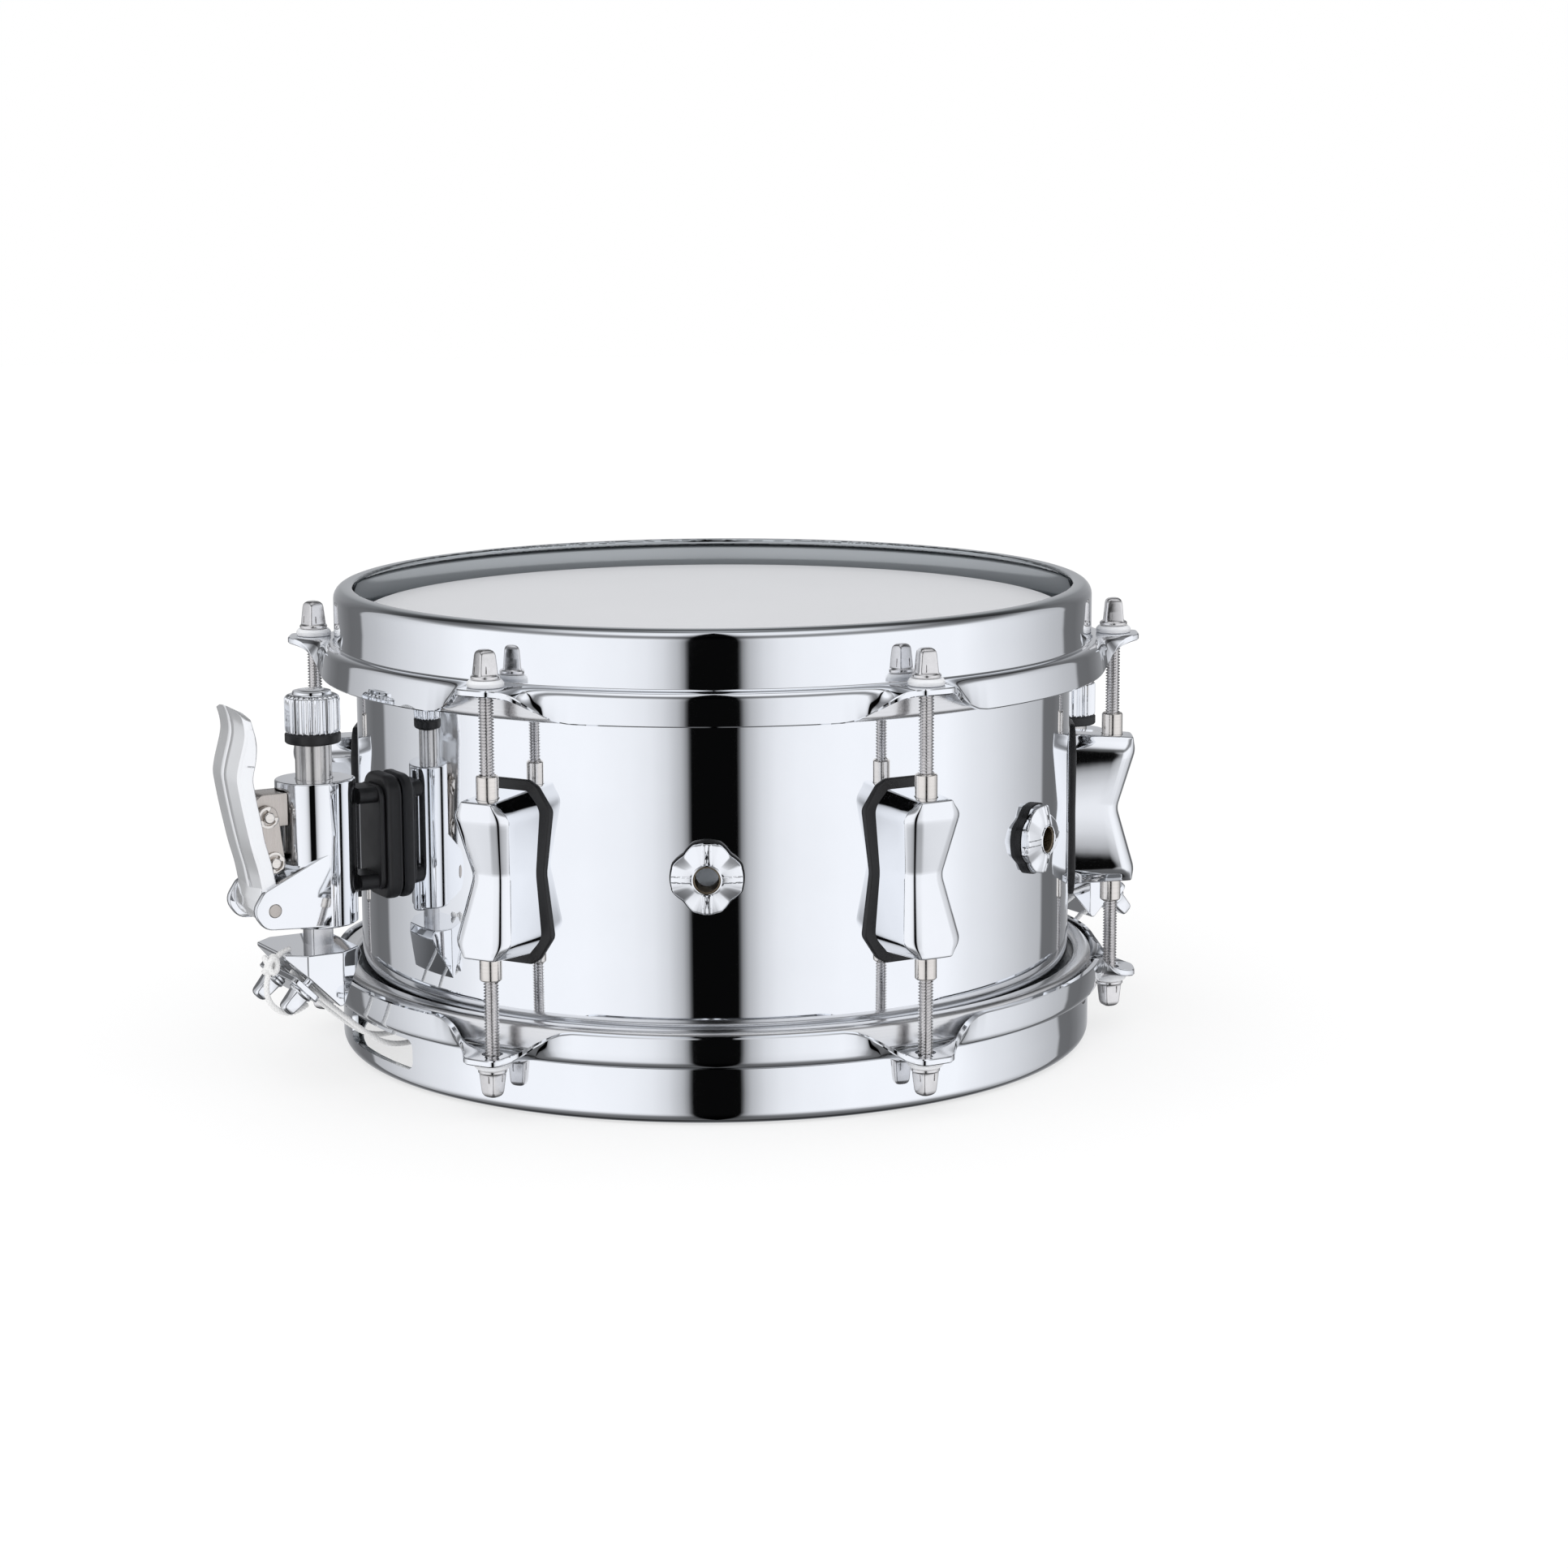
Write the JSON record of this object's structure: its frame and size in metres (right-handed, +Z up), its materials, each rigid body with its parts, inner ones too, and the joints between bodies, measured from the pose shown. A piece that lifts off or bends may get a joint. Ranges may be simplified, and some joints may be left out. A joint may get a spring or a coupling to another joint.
{
  "type": "snare drum",
  "caption": "Small chromed steel snare drum with claw-ear hoops, waisted double-ended lugs, a throw-off strainer and an adjustable butt end.",
  "frame": {"origin": "on the drum's axis, in the plane of the bottom rim, where the drum rests", "axes": "+Z up through the batter head; the strainer stands on the -X side and the butt end on the +X side"},
  "size_m": [0.3707, 0.3112, 0.168],
  "materials": {
    "chrome_polished": "mirror polished chrome plate on steel",
    "chrome_cast": "polished chrome plate on die-cast zinc",
    "film_coated": "white coated polyester film, fine grain",
    "film_clear": "clear hazy polyester film",
    "flesh_aluminium": "brushed aluminium",
    "rubber_black": "satin moulded rubber",
    "nickel": "satin nickel plate",
    "rod_steel": "zinc-nickel plated threads",
    "nylon_white": "moulded nylon",
    "steel_brushed": "turned and brushed steel",
    "cord_white": "braided nylon cord",
    "snare_steel": "coiled steel wire",
    "brass_dark": "dull brass sleeve"
  },
  "bodies": {
    "root": {"batter_flesh_hoop": "flesh_aluminium", "batter_head_film": "film_coated", "batter_hoop": "chrome_polished", "butt_base": "chrome_cast", "butt_cylinder": "steel_brushed", "butt_gasket": "rubber_black", "butt_housing": "chrome_cast", "butt_mount_screws": "nickel", "lever_pin": "nickel", "lug_bodies": "chrome_cast", "lug_gaskets": "rubber_black", "lug_screws": "nickel", "rod_washers": "nylon_white", "shell": "chrome_polished", "snare_cord_butt": "cord_white", "snare_cord_strainer": "cord_white", "snare_end_plates": "snare_steel", "snare_side_flesh_hoop": "flesh_aluminium", "snare_side_head_film": "film_clear", "snare_side_hoop": "chrome_polished", "snare_wires": "snare_steel", "strainer_base": "chrome_cast", "strainer_gasket": "rubber_black", "strainer_housing": "chrome_cast", "strainer_mount_screws": "nickel", "swivel_nuts": "nickel", "vent_gaskets": "rubber_black", "vent_rosettes": "chrome_cast", "vent_sleeves": "brass_dark"},
    "throw_lever": {"throw_lever": "chrome_cast"},
    "link": {"link_plates": "nickel", "link_pins": "nickel", "e_clips": "nickel"},
    "carriage": {"strainer_cylinder": "steel_brushed"},
    "strainer_knob": {"strainer_knob": "chrome_cast", "strainer_knob_ring": "rubber_black"},
    "strainer_clamp": {"strainer_bar": "steel_brushed", "strainer_clamp_block": "chrome_cast", "strainer_clamp_plate": "chrome_cast", "strainer_clamp_screws": "chrome_cast", "cord_loop": "cord_white"},
    "butt_knob": {"butt_knob": "chrome_cast", "butt_knob_ring": "rubber_black"},
    "butt_clamp": {"butt_bar": "steel_brushed", "butt_clamp_block": "chrome_cast", "butt_clamp_plate": "chrome_cast", "butt_clamp_screws": "chrome_cast"},
    "tension_rod_bottom_1": {"tension_rod_bottom_1": "rod_steel"},
    "tension_rod_bottom_2": {"tension_rod_bottom_2": "rod_steel"},
    "tension_rod_bottom_3": {"tension_rod_bottom_3": "rod_steel"},
    "tension_rod_bottom_4": {"tension_rod_bottom_4": "rod_steel"},
    "tension_rod_bottom_5": {"tension_rod_bottom_5": "rod_steel"},
    "tension_rod_bottom_6": {"tension_rod_bottom_6": "rod_steel"},
    "tension_rod_top_1": {"tension_rod_top_1": "rod_steel"},
    "tension_rod_top_2": {"tension_rod_top_2": "rod_steel"},
    "tension_rod_top_3": {"tension_rod_top_3": "rod_steel"},
    "tension_rod_top_4": {"tension_rod_top_4": "rod_steel"},
    "tension_rod_top_5": {"tension_rod_top_5": "rod_steel"},
    "tension_rod_top_6": {"tension_rod_top_6": "rod_steel"}
  },
  "joints": [
    {"name": "tension_rod_bottom_1_turn", "type": "hinge", "parent": "root", "child": "tension_rod_bottom_1", "pos_m": [0.12687, 0.07325, 0.043], "axis": [0, 0, 1], "continuous": true},
    {"name": "tension_rod_bottom_2_turn", "type": "hinge", "parent": "root", "child": "tension_rod_bottom_2", "pos_m": [0, 0.1465, 0.043], "axis": [0, 0, 1], "continuous": true},
    {"name": "tension_rod_bottom_3_turn", "type": "hinge", "parent": "root", "child": "tension_rod_bottom_3", "pos_m": [-0.12687, 0.07325, 0.043], "axis": [0, 0, 1], "continuous": true},
    {"name": "tension_rod_bottom_4_turn", "type": "hinge", "parent": "root", "child": "tension_rod_bottom_4", "pos_m": [-0.12687, -0.07325, 0.043], "axis": [0, 0, 1], "continuous": true},
    {"name": "tension_rod_bottom_5_turn", "type": "hinge", "parent": "root", "child": "tension_rod_bottom_5", "pos_m": [0, -0.1465, 0.043], "axis": [0, 0, 1], "continuous": true},
    {"name": "tension_rod_bottom_6_turn", "type": "hinge", "parent": "root", "child": "tension_rod_bottom_6", "pos_m": [0.12687, -0.07325, 0.043], "axis": [0, 0, 1], "continuous": true},
    {"name": "tension_rod_top_1_turn", "type": "hinge", "parent": "root", "child": "tension_rod_top_1", "pos_m": [0.12687, 0.07325, 0.125], "axis": [0, 0, 1], "continuous": true},
    {"name": "tension_rod_top_2_turn", "type": "hinge", "parent": "root", "child": "tension_rod_top_2", "pos_m": [0, 0.1465, 0.125], "axis": [0, 0, 1], "continuous": true},
    {"name": "tension_rod_top_3_turn", "type": "hinge", "parent": "root", "child": "tension_rod_top_3", "pos_m": [-0.12687, 0.07325, 0.125], "axis": [0, 0, 1], "continuous": true},
    {"name": "tension_rod_top_4_turn", "type": "hinge", "parent": "root", "child": "tension_rod_top_4", "pos_m": [-0.12687, -0.07325, 0.125], "axis": [0, 0, 1], "continuous": true},
    {"name": "tension_rod_top_5_turn", "type": "hinge", "parent": "root", "child": "tension_rod_top_5", "pos_m": [0, -0.1465, 0.125], "axis": [0, 0, 1], "continuous": true},
    {"name": "tension_rod_top_6_turn", "type": "hinge", "parent": "root", "child": "tension_rod_top_6", "pos_m": [0.12687, -0.07325, 0.125], "axis": [0, 0, 1], "continuous": true},
    {"name": "throw_lever_swing", "type": "hinge", "parent": "root", "child": "throw_lever", "pos_m": [-0.1798, 0, 0.0666], "axis": [0, -1, 0], "range_deg": [0, 45]},
    {"name": "carriage_drop", "type": "slide", "parent": "root", "child": "carriage", "axis": [0, 0, -1], "range_m": [0, 0.00604], "deforming": ["snare_cord_strainer"]},
    {"name": "link_swing", "type": "hinge", "parent": "carriage", "child": "link", "pos_m": [-0.1792, 0, 0.0983], "axis": [0, 1, 0], "range_deg": [0, 44.4]},
    {"name": "strainer_knob_turn", "type": "hinge", "parent": "carriage", "child": "strainer_knob", "pos_m": [-0.1586, 0, 0.13], "axis": [0, 0, 1], "range_deg": [-1441, 1441]},
    {"name": "strainer_clamp_slide", "type": "slide", "parent": "carriage", "child": "strainer_clamp", "axis": [0, 0, 1], "range_m": [-0.003, 0.003]},
    {"name": "butt_knob_turn", "type": "hinge", "parent": "root", "child": "butt_knob", "pos_m": [0.1586, 0, 0.11], "axis": [0, 0, 1], "range_deg": [-1441, 1441]},
    {"name": "butt_clamp_slide", "type": "slide", "parent": "root", "child": "butt_clamp", "axis": [0, 0, 1], "range_m": [-0.003, 0.003], "deforming": ["snare_cord_butt"]}
  ],
  "couplings": [
    {"joint": "throw_lever_swing", "follows": "carriage_drop", "rad_per_m": 130.14},
    {"joint": "link_swing", "follows": "carriage_drop", "rad_per_m": 127.83},
    {"joint": "strainer_knob_turn", "follows": "strainer_clamp_slide", "rad_per_m": 8377.6},
    {"joint": "butt_knob_turn", "follows": "butt_clamp_slide", "rad_per_m": 8377.6}
  ]
}
